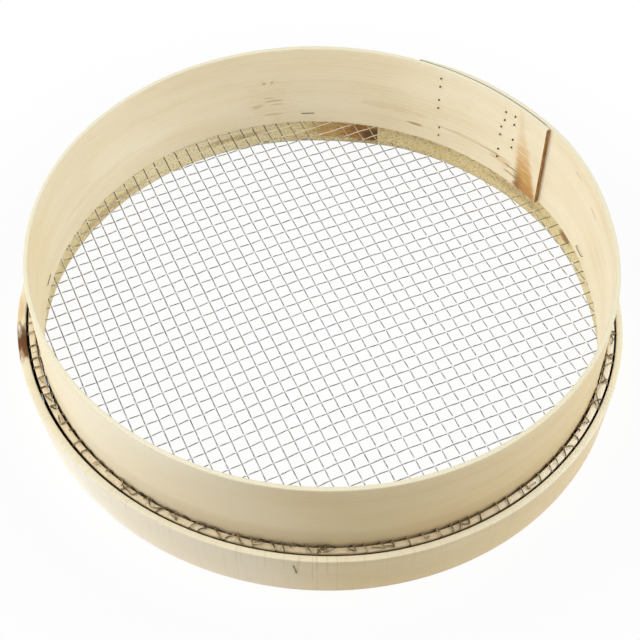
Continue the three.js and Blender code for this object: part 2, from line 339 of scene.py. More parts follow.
def plank_outline(size, rows):
    """The plank seen on its end: (across, up, edge), from the inner foot upwards and round, in millimetres."""
    wall, height, bend = size["wall"], size["height"], size["round"]

    def corner(across, up, first):
        points = []
        for k in range(CORNER_POINTS):
            angle = math.radians(first - 90 * k / (CORNER_POINTS - 1))
            edge = 1.0 if 0 < k < CORNER_POINTS - 1 else 0.5
            points.append((across + bend * math.cos(angle), up + bend * math.sin(angle), edge))
        return points

    low, high = bend + EDGE_BAND, height - bend - EDGE_BAND
    levels = [low + (high - low) * k / rows for k in range(rows + 1)]
    foot = corner(bend, bend, -90)
    outline = [foot[-1]] + [(0, z, 0) for z in levels]
    outline += corner(bend, height - bend, 180) + [(wall / 2, height, 0.3)] + corner(wall - bend, height - bend, 90)
    outline += [(wall, z, 0) for z in reversed(levels)]
    return outline + corner(wall - bend, bend, 0) + [(wall / 2, 0, 0.3)] + foot[:-1]


def flat_plank(name, size, rows, step):
    """A straight plank: x is an angle in radians, y goes across the wall, z goes up; a skived end is shaved thinner."""
    outline = plank_outline(size, rows)
    count, span = len(outline), size["end"] - size["start"]
    last = round(span / step)
    angles = [size["start"] + span * k / last for k in range(last + 1)]
    skive = size.get("skive", 0)
    thin = [1 - SKIVED * max(0, 1 - (size["end"] - a) / skive) if skive else 1 for a in angles]
    points = [(math.radians(a), across * t * MM, up * MM) for a, t in zip(angles, thin) for across, up, _ in outline]
    faces = []
    for i in range(last):
        for j in range(count):
            k = (j + 1) % count
            faces.append((i * count + j, i * count + k, (i + 1) * count + k, (i + 1) * count + j))
    faces.append(tuple(reversed(range(count))))
    faces.append(tuple(range(last * count, (last + 1) * count)))
    mesh = bpy.data.meshes.new(name)
    mesh.from_pydata(points, [], faces)
    return mesh, outline, angles


print("points round the filler plank's section:", len(plank_outline(FILLER, 5)))

# %% Grain map of a plank
END_MAP_SHIFT = 0.1


def along(size, angle):
    """Distance along the plank's inner face, in metres, at an angle in degrees."""
    return math.radians(angle - size["start"]) * size["inner"] * MM


def inside_at(size, angle, height):
    """Place on the grain map of a point on the plank's inner face."""
    return along(size, angle), (height - size["foot"] - size["round"]) * MM, 0.0


def outside_at(size, angle, height):
    """Place on the grain map of a point on the plank's outer face."""
    bend = size["round"]
    over = size["height"] - 2 * bend + math.pi * bend + size["wall"] - 2 * bend
    return along(size, angle), (over + size["height"] - bend - (height - size["foot"])) * MM, 0.0


def map_plank(mesh, size, outline, angles):
    """Give a flat plank its grain map, its edge mask and its end-grain faces."""
    count = len(outline)
    travel = [0.0]
    for here, there in zip(outline, outline[1:] + outline[:1]):
        travel.append(travel[-1] + math.dist(here[:2], there[:2]) * MM)
    grain = mesh.uv_layers.new(name="grain")
    for face in mesh.polygons:
        sawn = len(face.vertices) > 4
        wraps = any(point % count == count - 1 for point in face.vertices)
        for loop in face.loop_indices:
            station, j = divmod(mesh.loops[loop].vertex_index, count)
            if sawn:
                grain.data[loop].uv = (outline[j][0] * MM - END_MAP_SHIFT, outline[j][1] * MM)
            else:
                grain.data[loop].uv = (along(size, angles[station]), travel[count if wraps and j == 0 else j])
    edge = mesh.attributes.new("edge", "FLOAT", "POINT")
    edge.data.foreach_set("value", [outline[k % count][2] for k in range(len(mesh.vertices))])
    end = mesh.attributes.new("end_grain", "BOOLEAN", "FACE")
    end.data.foreach_set("value", [len(face.vertices) > 4 for face in mesh.polygons])


print("length of the main plank:", round(along(MAIN, MAIN["end"]), 3), "m")

# %% [markdown]
# ## Bending the planks
# A hoop follows a rule: a circle that climbs over its own end where it laps, and that bulges where the hoop inside it
# laps. Moving the points in Python would do, but a node tree keeps the rule in one place, with a named input for each
# size, and bends all three planks. The real hoops aren't true: they are two millimetres out of round, the main hoop's
# foot is a little wider and the outer hoop's foot is tucked in. Slow noise, read from the direction and not from the
# plank, lets the hoops wander together by less than a millimetre, so they don't cut into each other.

# %% Helpers for shapes made by nodes
def named(tree, name, kind):
    """A number that the mesh carries, read by geometry nodes."""
    return output("InputNamedAttribute", {"Name": name}, tree, "Attribute", data_type=kind)


def finished(shape, material):
    """Realize Instances and Set Material, the end of every tree."""
    shape = output("RealizeInstances", {0: shape})
    return output("SetMaterial", {"Geometry": shape, "Material": material})


def store(shape, name, value):
    """Keep a number on every point of a shape."""
    inputs = {"Geometry": shape, "Name": name, "Value": value}
    return output("StoreNamedAttribute", inputs, data_type="FLOAT", domain="POINT")


def scaled(place, factor):
    """A place times a number."""
    return output("VectorMath", {0: place, "Scale": factor}, operation="SCALE")


def round_wire(path, given):
    """Turn paths into solid round wire."""
    ring = output("CurvePrimitiveCircle", {"Resolution": given["Sides"], "Radius": given["Wire"] / 2.0})
    tube = output("CurveToMesh", {"Curve": path, "Profile Curve": ring, "Fill Caps": True})
    return finished(tube, given["Finish"])


print("a tree ends with:", finished.__doc__)

# %% The bending form
CLIMB, SETTLE = math.radians(30), math.radians(20)
STAND_OFF_FAR, STAND_OFF_NEAR, STAND_OFF_TOP = 0.75, 0.1, 0.042
STAND_OFF_WALL, STAND_OFF_INSIDE = 0.004, 0.25
WANDER_SCALE, WANDER_UP, WANDER_SEED = 1.6, 6.0, 3.0
WAVE_SCALE, RAGGED_SCALE, RAGGED_ACROSS = 2.3, 42.0, 2.0
RIM_FROM, RIM_TO = 0.03, 0.042


def make_bending_form():
    """Nodes that bend a flat plank into a hoop."""
    inputs = {"Plank": "Geometry", "Inner Radius": 0.2, "Foot": 0.0, "Height": 0.1, "Foot Tuck": 0.0}
    inputs |= {"Lap Step": 0.0, "Lap Climb Start": 6.0, "Lap Climb End": 7.0}
    inputs |= {"Bulge": 0.0, "Bulge Centre": 0.8, "Bulge Half": 0.3, "Stand Off": 0.0, "Stand Off Angle": 3.3}
    inputs |= {"Oval": 0.002, "Oval Angle": 2.5, "Wander": 0.0006, "Rim Wave": 0.0005, "Ragged Top": 0.0, "Seed": 0.0}
    inputs |= {"Face Wood": "Material", "End Wood": "Material"}
    tree, given, made = open_group("bend_plank", inputs, Hoop="Geometry")
    angle, across, up = parts(output("InputPosition", tree=tree))
    east, north = sum_of("COSINE", angle), sum_of("SINE", angle)

    def turned(centre):
        return sum_of("WRAP", angle - given[centre], math.pi, -math.pi)

    def waver(place, scale, seed, reach):
        inputs = {"Vector": place, "W": seed, "Scale": scale, "Detail": 2.0}
        return (output("TexNoise", inputs, noise_dimensions="4D") - 0.5) * (given[reach] * 2.0)

    swing, half = turned("Bulge Centre"), given["Bulge Half"]
    before = half * -1.0
    bulge = given["Bulge"] * (ease(swing, before - CLIMB, before) - ease(swing, half, half + SETTLE))
    lap = ease(angle, given["Lap Climb Start"], given["Lap Climb End"], 0.0, given["Lap Step"])
    apart = sum_of("ABSOLUTE", turned("Stand Off Angle"))
    apart = ease(apart, STAND_OFF_FAR, STAND_OFF_NEAR, 0.0, given["Stand Off"])
    apart = apart * ease(up, 0.0, STAND_OFF_TOP) * ease(across, 0.0, STAND_OFF_WALL, STAND_OFF_INSIDE, 1.0)
    wander = waver(vector(east, north, up * WANDER_UP), WANDER_SCALE, WANDER_SEED, "Wander")
    tuck = given["Foot Tuck"] * (up / given["Height"] - 1.0)
    oval = sum_of("COSINE", turned("Oval Angle") * 2.0) * given["Oval"]
    radius = given["Inner Radius"] + across + bulge + lap + apart + wander + tuck + oval
    wave = waver(vector(east, north), WAVE_SCALE, given["Seed"], "Rim Wave")
    ragged = waver(vector(east, north, across * RAGGED_ACROSS), RAGGED_SCALE, given["Seed"], "Ragged Top")
    height = up + (wave + ragged) * ease(up, RIM_FROM, RIM_TO) + given["Foot"]
    bent = vector(radius * east, radius * north, height)
    hoop = output("SetPosition", {"Geometry": given["Plank"], "Position": bent})
    ends = {"Geometry": finished(hoop, given["Face Wood"]), "Material": given["End Wood"]}
    ends["Selection"] = named(tree, "end_grain", "BOOLEAN")
    link(output("SetMaterial", ends), made["Hoop"])
    return tree


bend_plank = make_bending_form()
print("bending form:", len(bend_plank.nodes), "nodes")

# %% A piece made by nodes
SHARP_EDGE = math.radians(50)


def made_by_nodes(name, mesh, tree, sizes):
    """Run a tree on a mesh with these sizes, and keep the result as a plain mesh."""
    piece = bpy.data.objects.new(name, mesh)
    maker = piece.modifiers.new("maker", "NODES")
    maker.node_group = tree
    for item in tree.interface.items_tree:
        if item.in_out == "INPUT" and item.name in sizes:
            maker[item.identifier] = sizes[item.name]
    scene.collection.objects.link(piece)
    result = piece.evaluated_get(bpy.context.evaluated_depsgraph_get())
    plain = bpy.data.meshes.new_from_object(result)
    piece.modifiers.remove(maker)
    piece.data = plain
    plain.name = name
    for index in reversed(range(len(plain.materials))):
        if plain.materials[index] is None:
            plain.materials.pop(index=index)
    plain.shade_smooth()
    plain.set_sharp_from_angle(angle=SHARP_EDGE)
    plain.calc_loop_triangles()
    print(name, "triangles:", len(plain.loop_triangles), "materials:", [m.name for m in plain.materials])
    return piece


print("edges sharper than", round(math.degrees(SHARP_EDGE)), "degrees stay sharp")

# %% [markdown]
# ## Pale bent wood
# The planks are a pale, nearly white wood with a warm cream tone, hardly polished. Their top edges are painted
# greyer, as painted shade against the strong light from above, and the faces that look into a gap are painted dark,
# as painted shade. A photo could be wrapped round them, but nodes stay sharp at any distance. The base is a ramp from
# tan streaks to cream. Each plank then gets its own marks: bark left at an edge, thin dark streaks, broad changes of
# tone, and a few broad pale patches of painted light. A mark is a soft patch with a place on the plank, given as an
# angle and a height, so it can be found again on the real thing.

# %% Starting a finish
Finish = namedtuple("Finish", "material shader place")


def start_finish(name, plank):
    """A material with a bare Principled shader; its patterns read the plank's map or the object's own place."""
    material = bpy.data.materials.new(name)
    tree = emptied(material)
    shader = add("BsdfPrincipled", tree=tree)
    add("OutputMaterial", {"Surface": Flow(shader.outputs[0])})
    if plank:
        return Finish(material, shader, output("UVMap", tree=tree, uv_map="grain"))
    return Finish(material, shader, output("TexCoord", tree=tree, take="Object"))


def feed(finish, label, flow):
    """Lead a flow into the shader."""
    link(flow, finish.shader.inputs[label])


def relief(finish, height, strength, depth):
    """A bump; the depth is in millimetres."""
    inputs = {"Height": height, "Strength": strength, "Distance": depth * MM}
    feed(finish, "Normal", output("Bump", inputs))


def tone_ramp(tone, stops):
    """A colour ramp with stops of (position, colour)."""
    ramp = add("ValToRGB", {0: tone})
    knots = ramp.color_ramp.elements
    for knot, (position, shade) in zip(list(knots), (stops[0], stops[-1])):
        knot.position, knot.color = position, colour(*shade)
    for position, shade in stops[1:-1]:
        knots.new(position).color = colour(*shade)
    return Flow(ramp.outputs[0])


print("a finish keeps together:", Finish._fields)

# %% Painting over the base colour
# The dark colour below is painted shade, laid on faces that look into a gap or into the lap's seam.
GAP_SHADE, GAP_SHADE_STRENGTH = (58, 42, 24), 0.93
TOP_STRENGTH, TOP_SOFT = 0.85, 0.4 * MM


def mixed(share, under, over, blend="MIX"):
    """Blend two colours by a mask."""
    return output("Mix", {0: share, 6: under, 7: over}, take=2, data_type="RGBA", blend_type=blend)


def paint(finish, mask, shade, blend="MIX"):
    """Lay a colour, or a flow of colours, over the present base colour."""
    base = finish.shader.inputs["Base Color"]
    over = shade if isinstance(shade, Flow) else colour(*shade)
    link(mixed(mask, Flow(base.links[0].from_socket), over, blend), base)


def grouped(group, inputs):
    """Place a shared effect and fill its inputs."""
    return {socket.name: Flow(socket) for socket in add("Group", inputs, node_tree=group).outputs}


def paint_marks(finish, size, face, rows):
    """Soft patches: angle, height, half length, half width (mm), raggedness, strength, colour."""
    for angle, height, long, wide, ragged, strength, shade in rows:
        inputs = {"Map": finish.place, "Centre": face(size, angle, height), "Ragged": ragged}
        inputs["Half Size"] = (long * MM, wide * MM, 1.0)
        paint(finish, grouped(soft_patch, inputs)["Mask"] * strength, shade)


def paint_band(finish, low, high, shade, strength, soft):
    """Tint a band all along a plank, between two places round its section, with soft limits."""
    round_it = parts(finish.place)[1]
    rise, fall = ease(round_it, low - soft, low + soft), ease(round_it, high + soft, high - soft)
    paint(finish, rise * fall * strength, shade)


def paint_top_shade(finish, size, shade):
    """The plank's top edge is painted a little greyer than its faces: painted shade that holds back the strong light
    from above.
    """
    corner = size["foot"] + size["height"] - size["round"]
    paint_band(finish, inside_at(size, 0, corner)[1], outside_at(size, 0, corner)[1], shade, TOP_STRENGTH, TOP_SOFT)


def paint_gap_shade(finish, low, high):
    """Painted shade on the part of a plank's section that looks into a gap, between two places on its map."""
    paint_band(finish, low[1], high[1], GAP_SHADE, GAP_SHADE_STRENGTH, MM)


print("painted shade in the gaps:", GAP_SHADE)

# %% Pale wood
CREAM = [(0.28, (224, 205, 165)), (0.45, (236, 222, 190)), (0.58, (241, 230, 202)), (0.74, (246, 238, 216))]
PORE, PORE_STRENGTH, RUBBED = (168, 138, 92), 0.22, (246, 236, 212)


def pale_wood(name, seed, stops, wear=0.5, rubbed=RUBBED, coarse=1.0, bump=0.25):
    """Plank wood: streaked tones, pores, rubbed edges."""
    finish = start_finish(name, plank=True)
    grain = grouped(plank_grain, {"Map": finish.place, "Seed": seed, "Coarse": coarse})
    feed(finish, "Base Color", tone_ramp(grain["Tone"], stops))
    paint(finish, grain["Pore"] * PORE_STRENGTH, PORE)
    paint(finish, grouped(edge_wear, {"Map": finish.place, "Amount": wear})["Mask"], rubbed)
    feed(finish, "Roughness", ease(grain["Tone"], 0.3, 0.7, 0.62, 0.48))
    relief(finish, grain["Height"], bump, depth=0.4)
    finish.shader.inputs["Specular IOR Level"].default_value = 0.3
    return finish


print("cream wood runs through", len(CREAM), "tones")

# %% Marks of the main hoop
GREY, TAWNY, HONEY, RUSSET = (172, 146, 102), (206, 176, 122), (222, 189, 112), (166, 130, 76)
MAIN_INSIDE = [
    (67.6, 41.3, 9, 1.7, 1.2, 0.75, RUSSET),
    (59.2, 47.2, 15, 1.2, 1.6, 0.3, GREY),
    (53.5, 47.4, 22, 2.4, 2.2, 0.35, TAWNY),
    (47.1, 47.4, 15, 1.3, 1.6, 0.55, GREY),
    (44.2, 44.6, 14, 4.5, 2.4, 0.5, TAWNY),
    (41.2, 43.5, 10, 1.5, 1.4, 0.75, (150, 112, 60)),
    (42.2, 37.5, 9, 1.6, 1.6, 0.6, RUSSET),
    (103.5, 72.9, 2.8, 1.6, 1.0, 0.65, GREY),
    (101.7, 72.9, 1.6, 2.0, 1.0, 0.5, GREY),
    (102.8, 56.5, 7, 1.3, 2.0, 0.45, GREY),
    (101.6, 53.0, 9, 1.5, 2.0, 0.55, GREY),
    (100.6, 49.0, 7, 1.2, 2.0, 0.4, GREY),
    (105.4, 48.5, 7, 2.4, 2.0, 0.4, GREY),
    (101.9, 38.2, 9, 1.0, 1.6, 0.4, GREY),
    (102, 52, 26, 22, 2.6, 0.22, (222, 190, 128)),
    (73.9, 52.8, 40, 4, 2.2, 0.25, TAWNY),
    (381.6, 93.7, 7, 2.0, 1.8, 0.3, GREY),
    (372.3, 85.7, 8, 1.8, 1.8, 0.35, GREY),
    (149.4, 50.1, 60, 5, 1.6, 0.15, TAWNY),
    (192, 66, 110, 70, 0.2, 0.3, (238, 216, 150)),
]
MAIN_OUTSIDE = [
    # Painted light: the broad pale patch on the front left of the outside.
    (240, 66, 130, 70, 0.2, 0.65, (253, 247, 228)),
    (302, 66, 380, 70, 0.2, 0.4, HONEY),
    (230, 45, 2500, 17, 0.5, 0.14, (170, 142, 100)),
]
main_wood = pale_wood("main_plank_wood", seed=1.0, stops=CREAM, bump=0.2)
paint_marks(main_wood, MAIN, inside_at, MAIN_INSIDE)
paint_marks(main_wood, MAIN, outside_at, MAIN_OUTSIDE)
# Painted shade: the top edge is painted greyer to hold back the strong light from above.
paint_top_shade(main_wood, MAIN, (213, 207, 181))
print("main hoop marks:", len(MAIN_INSIDE) + len(MAIN_OUTSIDE))

# %% [markdown]
# ## The branch stain
# Close to the end of the main plank a branch grew. It left a narrow fan, hardly tinted at the top, orange at the foot,
# with fine lines across it and a dark brown left edge. A plain oval can't give that, so two slanted limits on the
# plank's map cut the fan out, and noise stretched along the plank draws the lines.

# %% Branch stain on the main plank
STAIN = [(0.32, (150, 100, 40)), (0.5, (212, 160, 78)), (0.68, (234, 196, 124))]
STAIN_FOOT, BROWN = (154, 102, 44), (122, 88, 46)
FRAY = 0.011
RIGHT_SLOPE, RIGHT_FOOT, LEFT_SLOPE, LEFT_FOOT = 0.35, -0.0025, 0.075, 0.0242


def paint_branch_stain(finish):
    """Fan-shaped stain at the plank's inner end, drawn over the base colour."""
    run, up, _ = parts(finish.place)
    fray = noise(finish.place, (75, 260), detail=4.0) - 0.5
    run = sum_of("MULTIPLY_ADD", fray, FRAY, run)
    right = run - sum_of("MULTIPLY_ADD", up, RIGHT_SLOPE, RIGHT_FOOT)
    left = sum_of("MULTIPLY_ADD", up, LEFT_SLOPE, LEFT_FOOT) - run
    fan = ease(right, -0.0015, 0.0055) * ease(left, -0.002, 0.0042) * ease(up, 0.0802, 0.0788)
    lines = noise(finish.place, (55, 950), detail=3.0, turn=0.18)
    shade = mixed(ease(up, 0.03, 0.0, 0.0, 0.55), tone_ramp(lines, STAIN), colour(*STAIN_FOOT))
    paint(finish, fan * ease(up, 0.066, 0.008, 0.22, 0.95), shade)
    dark = ease(left, -0.003, 0.0015) * ease(left, 0.011, 0.002) * ease(up, 0.026, 0.002, 0.0, 0.9)
    paint(finish, dark * ease(lines, 0.36, 0.56, 1.0, 0.55), BROWN)


paint_branch_stain(main_wood)
print("branch stain on:", main_wood.material.name)

# %% [markdown]
# ## Painted shade in the seam and in the gaps
# Where the main plank laps over itself a thin dark line shows along the rim, strongest near the outer end, and no
# light gets down between the hoops. Deeper gaps would need more light paths to look dark, so the faces that meet
# there are painted dark instead: this is painted shade.

# %% Painted shade in the seam of the lap
LAP_ENDS = along(MAIN, 67.5)
OUTER_FROM = along(MAIN, MAIN["start"] + 361)
FRESH_FROM, FRESH_SPAN, FRESH_GAIN, FRESH_LEAST = (58, 418), 8, 0.5, 0.36
SEAM_FADE, SEAM_OVER, INNER_TOP = 0.002, 0.0008, (0.0785, 0.0775)


def paint_seam(finish):
    """Darken the two faces that meet in the lap with painted shade, so that the seam shows along the rim."""
    run, round_it, _ = parts(finish.place)
    over = outside_at(MAIN, 0, MAIN["foot"] + MAIN["height"] - MAIN["round"])[1]
    within = ease(run, LAP_ENDS, LAP_ENDS - SEAM_FADE) * ease(round_it, over - SEAM_OVER, over)
    inner = ease(run, OUTER_FROM, OUTER_FROM + SEAM_FADE) * ease(round_it, *INNER_TOP)
    fresh = [ease(run, along(MAIN, a), along(MAIN, a + FRESH_SPAN)) for a in FRESH_FROM]
    fresh = sum_of("MULTIPLY_ADD", sum_of("MAXIMUM", *fresh), FRESH_GAIN, FRESH_LEAST)
    paint(finish, sum_of("MAXIMUM", within, inner) * fresh, GAP_SHADE)


paint_seam(main_wood)
# Painted shade on the main hoop's outer face, low down where it looks into the gap.
paint_gap_shade(main_wood, outside_at(MAIN, 0, 36), outside_at(MAIN, 0, 26))
print("seam of the lap runs", round(LAP_ENDS, 3), "m along the plank")

# %% [markdown]
# ## Outer hoop wood
# The outer hoop is the same wood, with bark left on its upper edge at the left and faint upright lines from the saw.
# The bark and a pale stretch of the edge are painted after the grey of the top edge, which would cover them.

# %% Marks and saw lines of the outer hoop
OUTER_OUTSIDE = [
    # Painted light: the broad pale patch on the front left of the outside.
    (240, 21, 140, 70, 0.2, 0.92, (254, 251, 240)),
    (302, 21, 400, 70, 0.2, 0.4, HONEY),
]
OUTER_EDGE = [
    (338, 43, 190, 7, 0.2, 0.6, (243, 238, 216)),
    (184, 42.5, 17, 4, 1.0, 0.5, (206, 158, 92)),
    (192.4, 36, 20, 19, 1.3, 0.97, (150, 92, 34)),
    (191.8, 44, 17, 6, 1.6, 0.9, (84, 48, 12)),
    (194.2, 36, 6, 7, 2.0, 0.8, (90, 52, 16)),
]
SAW_LINE = (176, 150, 106)


def paint_hairlines(finish):
    """Faint upright lines that a saw left on the outer plank."""
    hair = ease(noise(finish.place, (700, 14)), 0.56, 0.72)
    broad = noise(finish.place, scale=9.0, detail=1.0)
    paint(finish, hair * ease(broad, 0.36, 0.6, 0.1, 0.26), SAW_LINE)


outer_wood = pale_wood("outer_plank_wood", seed=5.0, stops=CREAM)
paint_marks(outer_wood, OUTER, outside_at, OUTER_OUTSIDE)
# Painted shade: the top edge is painted greyer to hold back the strong light from above.
paint_top_shade(outer_wood, OUTER, (221, 213, 187))
paint_marks(outer_wood, OUTER, outside_at, OUTER_EDGE)
paint_hairlines(outer_wood)
# Painted shade on the outer hoop's inner face, which looks into the gap by the filler.
paint_gap_shade(outer_wood, inside_at(OUTER, 0, -4), inside_at(OUTER, 0, 40.2))
print("outer hoop marks:", len(OUTER_OUTSIDE) + len(OUTER_EDGE))

# %% [markdown]
# ## Filler wood and sawn ends
# The thick hoop under the cloth is the rough one: greyer, mottled and specked, with a dark strip of bark at one of its
# butted ends. It has the same grain group with stronger tones and more bump. Ends of planks show end grain: darker,
# with short lines across the wall.

# %% Filler wood
TAN = [(0.28, (206, 182, 128)), (0.44, (232, 214, 162)), (0.58, (241, 225, 176)), (0.74, (247, 235, 197))]
DUN, WORN = (160, 132, 86), (98, 76, 48)
FILLER_INSIDE = [
    # Painted light: the broad pale patch on the skirt at the back left.
    (118, 12, 110, 40, 0.3, 0.5, (255, 246, 212)),
    (86, 13.8, 34, 12, 1.4, 0.8, (184, 136, 72)),
    (79, 13.1, 30, 14, 0.9, 0.92, (150, 104, 49)),
    (78, 11.2, 13, 9, 0.9, 0.88, (82, 54, 24)),
    (383.6, 15.5, 10, 6, 0.7, 0.9, (150, 104, 54)),
    (110, 13.5, 40, 4, 1.5, 0.5, DUN),
    (144.3, 7.4, 55, 5, 1.5, 0.45, DUN),
    (400, 11.1, 50, 5, 1.5, 0.45, DUN),
]
FILLER_TOP = [
    (335, 43, 150, 8, 0.3, 0.7, (250, 244, 226)),
    (277, 43, 120, 8, 0.3, 0.3, (160, 138, 104)),
]
SPECK, FLECK, TORN, SPLIT = (128, 98, 52), (247, 234, 190), (218, 203, 176), (104, 80, 50)
TOP_BEGINS, TOP_ENDS = (0.0398, 0.0412), (0.0466, 0.0452)


def paint_specks(finish):
    """Brown specks of bark all over the filler wood, and torn, split fibres on its greyer top edge."""
    speck = noise(finish.place, (430, 820), detail=3.0)
    paint(finish, ease(speck, 0.54, 0.68, 0.0, 0.65), SPECK)
    paint(finish, ease(speck, 0.46, 0.34, 0.0, 0.6), FLECK, "OVERLAY")
    round_it = parts(finish.place)[1]
    top = ease(round_it, *TOP_BEGINS) * ease(round_it, *TOP_ENDS)
    paint(finish, top * 0.75, TORN)
    split = noise(finish.place, (420, 130), detail=3.0)
    paint(finish, top * ease(split, 0.58, 0.7, 0.0, 0.4), SPLIT)


filler_wood = pale_wood("filler_plank_wood", seed=9.0, stops=TAN, wear=0.75, rubbed=WORN, coarse=1.3, bump=0.6)
paint_marks(filler_wood, FILLER, inside_at, FILLER_INSIDE)
paint_specks(filler_wood)
paint_marks(filler_wood, FILLER, outside_at, FILLER_TOP)
# Painted shade on both faces of the filler hoop that look into the gaps beside it.
paint_gap_shade(filler_wood, inside_at(FILLER, 0, 30), inside_at(FILLER, 0, 40))
paint_gap_shade(filler_wood, outside_at(FILLER, 0, 40), outside_at(FILLER, 0, -4))
print("filler marks:", len(FILLER_INSIDE) + len(FILLER_TOP))

# %% Sawn ends
END_GRAIN = [(0.3, (118, 78, 36)), (0.5, (166, 116, 60)), (0.72, (200, 156, 100))]
sawn_end = start_finish("sawn_end_wood", plank=True)
rings = noise(sawn_end.place, (900, 160), detail=4.0)
feed(sawn_end, "Base Color", tone_ramp(rings, END_GRAIN))
feed(sawn_end, "Roughness", ease(rings, 0.3, 0.7, 0.85, 0.7))
relief(sawn_end, rings, strength=0.6, depth=0.4)
print("end grain:", sawn_end.material.name)

# %% [markdown]
# ## The three hoops
# Each plank is laid flat, mapped and bent. The main hoop climbs over its own end. The filler hoop and the outer hoop
# bulge where the main hoop laps, because they are pressed round it, and the outer hoop also has a lap of its own at
# the back. On the left the outer hoop stands off a little, which leaves the wider dark gap seen there.

# %% Bend the hoops
SEAM = 0.12
CLIMB_FROM, CLIMB_TO, RIM_WAVE = 330, 360, 0.6
STAND_OFF, STAND_OFF_ANGLE = 2.2, 203
BULGE = {"Bulge": MAIN_STEP * MM, "Bulge Centre": math.radians(50.5), "Bulge Half": math.radians(17.5)}


def hoop(name, size, wood, sizes, rows, step):
    """Lay a plank flat, map it, bend it."""
    mesh, outline, angles = flat_plank(name, size, rows, step)
    map_plank(mesh, size, outline, angles)
    known = {"Inner Radius": size["inner"] * MM, "Foot": size["foot"] * MM, "Height": size["height"] * MM}
    known |= {"Oval": OVAL * MM, "Oval Angle": math.radians(OVAL_ANGLE)}
    known |= {"Face Wood": wood.material, "End Wood": sawn_end.material}
    return made_by_nodes(name, mesh, bend_plank, {**known, **sizes})


def lap(size, step, seed):
    """A lap that climbs over the plank's own end within thirty degrees."""
    start, end = (math.radians(size["start"] + a) for a in (CLIMB_FROM, CLIMB_TO))
    climb = {"Lap Step": step * MM, "Lap Climb Start": start, "Lap Climb End": end}
    return {**climb, "Rim Wave": RIM_WAVE * MM, "Seed": seed}


main_bend = {**lap(MAIN, MAIN_STEP + SEAM, 2.0), "Foot Tuck": -MAIN_FLARE * MM}
filler_bend = {**BULGE, "Ragged Top": 0.6 * MM, "Rim Wave": 0.3 * MM, "Seed": 11.0}
outer_bend = {**BULGE, **lap(OUTER, OUTER_STEP, 7.0), "Foot Tuck": OUTER_TUCK * MM}
outer_bend |= {"Stand Off": STAND_OFF * MM, "Stand Off Angle": math.radians(STAND_OFF_ANGLE)}
main_hoop = hoop("main_plank", MAIN, main_wood, main_bend, rows=8, step=1.0)
filler_hoop = hoop("filler_plank", FILLER, filler_wood, filler_bend, rows=5, step=0.5)
outer_hoop = hoop("outer_plank", OUTER, outer_wood, outer_bend, rows=5, step=1.0)

# %% [markdown]
# ## Wire finishes
# The cloth is galvanised wire: a mid grey, mostly smooth metal with paler zinc crystals and dull spots, with a
# painted highlight where it bends and painted light and shade where it lies over the skirt near the hoop. The folded
# ends are darker; their darkest tones and their part down in the gap are painted shade. The staples are the same
# metal, older and browner, and their leg points are rusty where they came through the wood. All read the object's
# own coordinates, because a wire is too thin to need a map.

# %% Zinc wire
CRYSTAL_SCALE, CLOUD_SCALE = 420.0, 130.0
CRYSTAL_PART, CLOUD_PART = 0.45, 0.55
BEND_HIGHLIGHT, BEND_MASK, SIDES = (238, 238, 236), (0.6, 0.94), (-0.09, 0.09)
SKIRT_BACK, SKIRT_RING, SKIRT_TURN = (0.08, 0.14, 0.0, 0.7), (0.187, 0.193), (-0.04, 0.01)


def zinc_wire(name, dark, pale, spots):
    """Galvanised wire: crystals of zinc, dull spots, soft shine."""
    finish = start_finish(name, plank=False)
    crystal = output("TexVoronoi", {"Vector": finish.place, "Scale": CRYSTAL_SCALE}, take="Color")
    crystal = output("SeparateColor", {0: crystal})
    cloud = noise(finish.place, scale=CLOUD_SCALE, detail=4.0)
    tone = sum_of("MULTIPLY_ADD", crystal, CRYSTAL_PART, cloud * CLOUD_PART)
    dull = ease(cloud, 0.58, 0.72, 0.0, 0.7)
    feed(finish, "Base Color", tone_ramp(tone, [(0.25, dark), (0.75, pale)]))
    paint(finish, dull, spots)
    feed(finish, "Roughness", ease(tone, 0.2, 0.8, 0.52, 0.34))
    feed(finish, "Metallic", ease(dull, 0.0, 0.7, 0.85, 0.5))
    relief(finish, cloud, strength=0.25, depth=0.2)
    return finish


def paint_wire_light(finish, west, east, near_west, near_east):
    """Paint a highlight on the zinc where a wire bends over its neighbour, more on one half of the cloth; over the
    skirt near the hoop, tint it with painted light and shade.
    """
    x, y, _ = parts(finish.place)
    bend = ease(attribute(x.tree, "bend"), *BEND_MASK)
    paint(finish, bend * ease(x, *SIDES, west, east), BEND_HIGHLIGHT)
    far = vector_sum("LENGTH", finish.place)
    over_skirt = ease(y, *SKIRT_BACK) * ease(far, *SKIRT_RING)
    paint(finish, over_skirt, mixed(ease(x, *SKIRT_TURN), colour(*near_west), colour(*near_east)))


CLOTH_ZINC = (108, 111, 112), (176, 178, 177), (92, 90, 86)
SKIRT_LIGHT = (238, 224, 196)
warp_zinc, weft_zinc = zinc_wire("warp_zinc", *CLOTH_ZINC), zinc_wire("weft_zinc", *CLOTH_ZINC)
# Painted highlights on the bends, and painted light and shade on the wires over the skirt.
paint_wire_light(warp_zinc, west=0.05, east=0.9, near_west=(104, 88, 62), near_east=(214, 192, 148))
paint_wire_light(weft_zinc, west=0.88, east=0.1, near_west=SKIRT_LIGHT, near_east=SKIRT_LIGHT)
print("wire finishes:", warp_zinc.material.name, weft_zinc.material.name)

# %% Wire ends with painted shade, and staple steel
GAP_FADE, RUST_FADE, RUST = (0.042, 0.0395, 0.0, 0.9), (0.0069, 0.0073, 0.0, 0.9), (84, 64, 34)
